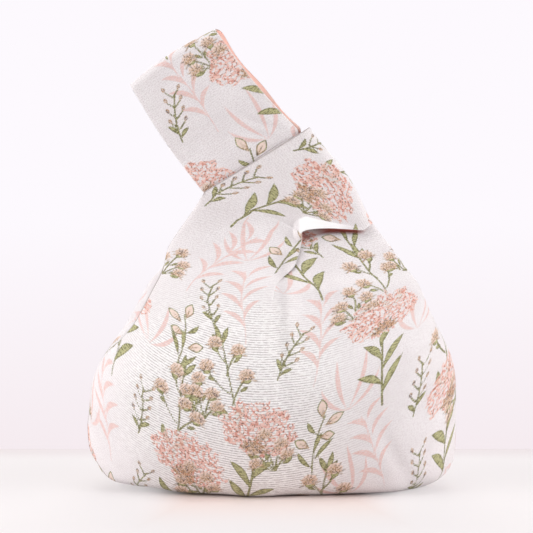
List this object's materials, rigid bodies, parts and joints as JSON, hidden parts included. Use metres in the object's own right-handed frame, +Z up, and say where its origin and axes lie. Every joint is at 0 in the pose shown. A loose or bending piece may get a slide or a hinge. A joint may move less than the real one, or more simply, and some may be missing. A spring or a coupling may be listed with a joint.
{
  "type": "japanese knot bag",
  "caption": "Soft wrist bag of floral jacquard with a rounded pouch and two flat cloth handles, the long one drawn through the short one to close the mouth.",
  "frame": {"origin": "centre of the bag's box, on the table the bag stands on", "axes": "+X to the right of the front, +Y from front to back, +Z up"},
  "size_m": [0.24, 0.11, 0.3019],
  "materials": {
    "jacquard": "woven off-white jacquard with pink blossoms and green leaves",
    "lining": "plain smooth salmon cloth",
    "interlining": "plain white non-woven"
  },
  "bodies": {
    "bag": {"outer_front_panel": "jacquard", "interlining_front": "interlining", "lining_front_panel": "lining", "outer_back_panel": "jacquard", "interlining_back": "interlining", "lining_back_panel": "lining", "short_handle_front_outer": "jacquard", "short_handle_front_lining": "lining", "short_handle_back_outer": "jacquard", "short_handle_back_lining": "lining", "long_handle_root_front_outer": "jacquard", "long_handle_root_front_lining": "lining", "long_handle_root_back_outer": "jacquard", "long_handle_root_back_lining": "lining"},
    "handle_stem": {"long_handle_stem_front_outer": "jacquard", "long_handle_stem_front_lining": "lining", "long_handle_stem_back_outer": "jacquard", "long_handle_stem_back_lining": "lining", "long_handle_fold_front_outer": "jacquard", "long_handle_fold_front_lining": "lining", "long_handle_fold_back_outer": "jacquard", "long_handle_fold_back_lining": "lining"},
    "handle_loop": {"long_handle_loop_front_outer": "jacquard", "long_handle_loop_front_lining": "lining", "long_handle_loop_back_outer": "jacquard", "long_handle_loop_back_lining": "lining"}
  },
  "joints": [
    {"name": "long_handle_slide", "type": "slide", "parent": "bag", "child": "handle_stem", "axis": [-0.6129, 0, 0.7902], "range_m": [-0.022, 0.008]},
    {"name": "long_handle_fold", "type": "hinge", "parent": "handle_stem", "child": "handle_loop", "pos_m": [-0.03682, 0, 0.24408], "axis": [0.7902, 0, 0.6129], "range_deg": [-100, 100], "deforming": ["long_handle_fold_front_outer", "long_handle_fold_front_lining", "long_handle_fold_back_outer", "long_handle_fold_back_lining"]}
  ]
}
